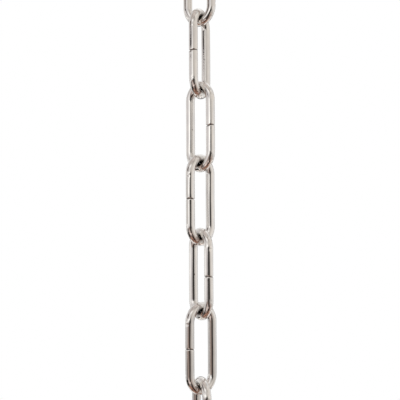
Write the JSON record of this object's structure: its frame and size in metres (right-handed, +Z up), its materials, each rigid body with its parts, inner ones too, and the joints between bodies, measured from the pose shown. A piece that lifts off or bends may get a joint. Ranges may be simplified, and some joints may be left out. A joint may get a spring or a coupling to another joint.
{
  "type": "oval link chain",
  "caption": "Hanging length of long-link decorative chain: narrow oval links of bent round wire, butt-cut at mid-leg, hooked crown over crown.",
  "frame": {"origin": "inside of the top link's upper crown, on the chain's axis, where a hook bears", "axes": "+Z up along the hanging chain; the middle link stands in the YZ plane with its cut leg towards -Y, and the links above and below it have twisted away from that, 4 to 11 degrees a link on top of the quarter turn between neighbours"},
  "size_m": [0.0152, 0.0154, 0.2343],
  "materials": {
    "polished_nickel": "polished nickel plating over steel wire"
  },
  "bodies": {
    "link_1": {"link_1": "polished_nickel"},
    "link_2": {"link_2": "polished_nickel"},
    "link_3": {"link_3": "polished_nickel"},
    "link_4": {"link_4": "polished_nickel"},
    "link_5": {"link_5": "polished_nickel"},
    "link_6": {"link_6": "polished_nickel"},
    "link_7": {"link_7": "polished_nickel"}
  },
  "joints": [
    {"name": "link_2_swing", "type": "hinge", "parent": "link_1", "child": "link_2", "pos_m": [0, 0, -0.03435], "axis": [0.9063, 0.4226, 0], "range_deg": [-150, 150]},
    {"name": "link_3_swing", "type": "hinge", "parent": "link_2", "child": "link_3", "pos_m": [0, 0, -0.0667], "axis": [0.3584, -0.9336, 0], "range_deg": [-150, 150]},
    {"name": "link_4_swing", "type": "hinge", "parent": "link_3", "child": "link_4", "pos_m": [0, 0, -0.09905], "axis": [-0.9848, -0.1736, 0], "range_deg": [-150, 150]},
    {"name": "link_5_swing", "type": "hinge", "parent": "link_4", "child": "link_5", "pos_m": [0, 0, -0.1314], "axis": [0, 1, 0], "range_deg": [-150, 150]},
    {"name": "link_6_swing", "type": "hinge", "parent": "link_5", "child": "link_6", "pos_m": [0, 0, -0.16375], "axis": [0.9969, -0.0785, 0], "range_deg": [-150, 150]},
    {"name": "link_7_swing", "type": "hinge", "parent": "link_6", "child": "link_7", "pos_m": [0, 0, -0.1961], "axis": [-0.1564, -0.9877, 0], "range_deg": [-150, 150]}
  ]
}
